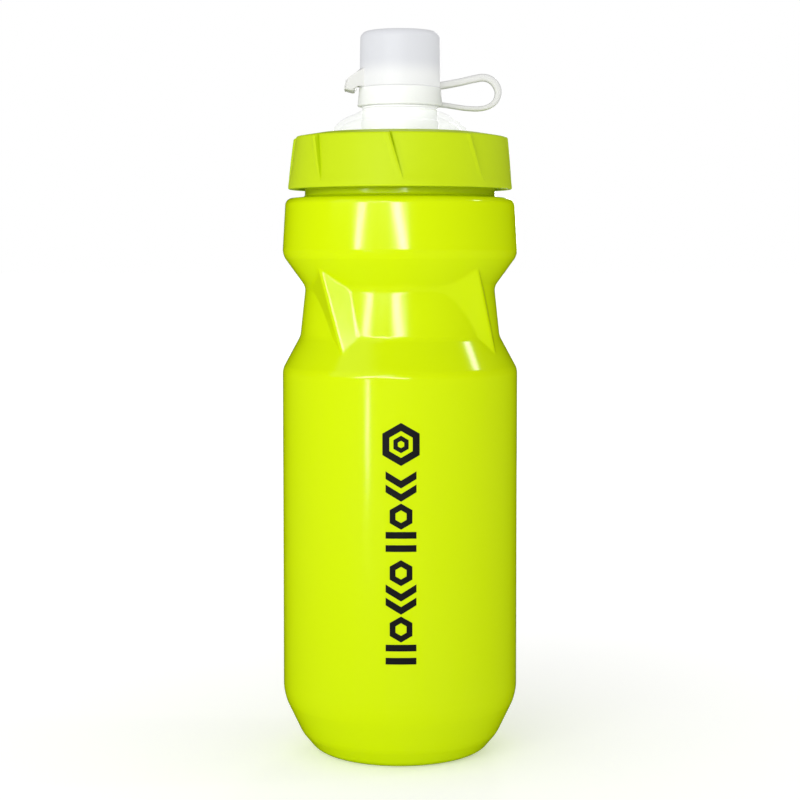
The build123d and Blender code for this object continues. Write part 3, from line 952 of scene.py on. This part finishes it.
def make_print():
    """A plain geometric print up the front: a large hexagon over a column of chevrons, hexagons and bars."""
    bm = bmesh.new()
    print_ring(bm, 6.4, PRINT_STROKE * 1.2, (PRINT_CENTRE, PRINT_TOP), 6)
    print_ring(bm, 2.6, 1.5, (PRINT_CENTRE, PRINT_TOP), 6)
    half = PRINT_HALF_WIDTH
    chevron = [(-half, 2.2), (0, -0.6), (half, 2.2), (half, -0.1), (0, -2.9), (-half, -0.1)]
    bar = [(-half, 1), (half, 1), (half, -1), (-half, -1)]
    column = [chevron, chevron, "hexagon", bar, bar, "hexagon", chevron, chevron, "hexagon", bar, bar]
    height = PRINT_TOP - 10.2
    for shape in column:
        if shape == "hexagon":
            print_ring(bm, 3.9, PRINT_STROKE, (PRINT_CENTRE, height - 3.4), 6)
            height -= HEXAGON_PITCH
        else:
            print_shape(bm, shape, (PRINT_CENTRE, height))
            height -= PRINT_PITCH
    for across in range(-7, 8):
        geom = bm.verts[:] + bm.edges[:] + bm.faces[:]
        bmesh.ops.bisect_plane(bm, geom=geom, plane_co=(across * MM, 0, 0), plane_no=(1, 0, 0), dist=1e-7)
    bmesh.ops.triangulate(bm, faces=bm.faces)
    skin = BODY_RADIUS + INK_THICKNESS / 2
    for vert in bm.verts:
        vert.co = around(skin, math.degrees(vert.co.x / MM / BODY_RADIUS), vert.co.z / MM)
    bmesh.ops.recalc_face_normals(bm, faces=bm.faces)
    for face in bm.faces:
        if face.normal.y > 0:
            face.normal_flip()
    bmesh.ops.solidify(bm, geom=bm.faces[:], thickness=INK_THICKNESS * MM)
    bmesh.ops.recalc_face_normals(bm, faces=bm.faces)
    return make_piece("front_print", bm, PRINT_INK, "bottle")


# ---------------------------------------------------------------------------
# The studio
# ---------------------------------------------------------------------------

def aim(thing, place, target):
    """Puts a lamp or camera at a place, looking at a target, both in metres."""
    thing.location = place
    thing.rotation_euler = (Vector(target) - Vector(place)).to_track_quat("-Z", "Y").to_euler()


LIT_POINT = Vector((0, 0, 0.15))


def add_strip(name, low, high, width, radiance):
    """A soft strip light between two points in metres, facing the bottle's waist."""
    length = (high - low).length
    lamp = bpy.data.lights.new(name, "AREA")
    lamp.shape = "RECTANGLE"
    lamp.size = length
    lamp.size_y = width
    lamp.energy = radiance * math.pi * length * width
    light = bpy.data.objects.new(name, lamp)
    bpy.context.scene.collection.objects.link(light)
    middle = (low + high) / 2
    along = (high - low).normalized()
    back = (middle - LIT_POINT).normalized()
    across = back.cross(along).normalized()
    back = along.cross(across)
    light.matrix_world = Matrix.Translation(middle) @ Matrix((along, across, back)).transposed().to_4x4()
    light.visible_camera = False


def make_floor():
    """A plain white floor that carries on past the edge of the picture. It glows, painted light that keeps
    it white and lights the bottle from below, and glows less near the bottle, a painted shade round its
    foot.
    """
    bm = bmesh.new()
    bmesh.ops.create_grid(bm, x_segments=2, y_segments=2, size=12)
    mesh = bpy.data.meshes.new("floor")
    bm.to_mesh(mesh)
    bm.free()
    floor = bpy.data.objects.new("floor", mesh)
    bpy.context.scene.collection.objects.link(floor)
    paint = bpy.data.materials.new("floor_white")
    paint.use_nodes = True
    nodes, links = paint.node_tree.nodes, paint.node_tree.links
    shader = nodes["Principled BSDF"]
    shader.inputs["Base Color"].default_value = (0.8, 0.8, 0.8, 1)
    shader.inputs["Roughness"].default_value = 0.9
    shader.inputs["Specular IOR Level"].default_value = 0.0
    place = nodes.new("ShaderNodeTexCoord")
    reach = nodes.new("ShaderNodeVectorMath")
    reach.operation = "LENGTH"
    # Painted light: the floor's glow grows with distance from the bottle, so it is dimmer round the foot, a
    # painted shade.
    glow = nodes.new("ShaderNodeMapRange")
    glow.inputs["From Min"].default_value = 0.03
    glow.inputs["From Max"].default_value = 0.5
    glow.inputs["To Min"].default_value = 0.3
    glow.inputs["To Max"].default_value = 0.6
    links.new(place.outputs["Object"], reach.inputs[0])
    links.new(reach.outputs["Value"], glow.inputs["Value"])
    links.new(glow.outputs["Result"], shader.inputs["Emission Strength"])
    shader.inputs["Emission Color"].default_value = (1, 1, 1, 1)
    floor.visible_glossy = False
    mesh.materials.append(paint)


def make_world():
    """White all round, brightest to look at. Reflections leave it out, so gloss shows only the lights."""
    world = bpy.data.worlds.new("white_studio")
    bpy.context.scene.world = world
    world.use_nodes = True
    world.cycles_visibility.glossy = False
    nodes, links = world.node_tree.nodes, world.node_tree.links
    background = nodes["Background"]
    background.inputs["Color"].default_value = (1, 1, 1, 1)
    ray = nodes.new("ShaderNodeLightPath")
    seen = nodes.new("ShaderNodeMapRange")
    seen.inputs["To Min"].default_value = 0.62
    seen.inputs["To Max"].default_value = 1.0
    links.new(ray.outputs["Is Camera Ray"], seen.inputs["Value"])
    links.new(seen.outputs["Result"], background.inputs["Strength"])


def make_studio():
    """The camera level with the bottle's waist, and the strip lights that give the gloss its bars."""
    camera_data = bpy.data.cameras.new("camera")
    camera_data.lens = 87.5
    camera_data.sensor_width = 36
    camera_data.clip_start = 0.01
    camera_data.shift_y = -0.05
    camera = bpy.data.objects.new("camera", camera_data)
    bpy.context.scene.collection.objects.link(camera)
    downward = math.radians(3.24)
    place = Vector((0, -0.610, 0.1575))
    aim(camera, place, place + Vector((0, math.cos(downward), -math.sin(downward))))
    bpy.context.scene.camera = camera
    strips = {
        "left_strip": (around(800, -43.5, 222), around(800, -32, 310), 0.024, 34),
        "middle_strip": (around(800, 7.5, 222), around(800, -9, 310), 0.024, 40),
        "top_strip": (around(800, -33, 345), around(800, -8, 345), 0.022, 44),
        "low_strip": (around(800, -31, 5), around(800, -30, 90), 0.04, 11),
        "high_strip": (around(800, -22, 480), around(800, -6, 480), 0.07, 4),
        "right_strip": (around(800, 94, 660), around(800, 92, 790), 0.09, 15),
        "back_strip": (around(900, 172, 150), around(900, 168, 520), 0.1, 9),
        "left_fill": (around(1500, -75, 900), around(1500, -25, 900), 1.2, 0.5),
    }
    for name, (low, high, width, radiance) in strips.items():
        add_strip(name, low, high, width, radiance)
    bpy.context.scene.view_settings.view_transform = "Standard"


make_bottle()
make_lid()
make_gasket()
make_dome()
make_guide()
make_plug()
make_sleeve()
make_seal()
make_nozzle()
make_tether_ring()
make_strap()
make_cap()
make_tab()
make_print()
make_floor()
make_world()
make_studio()
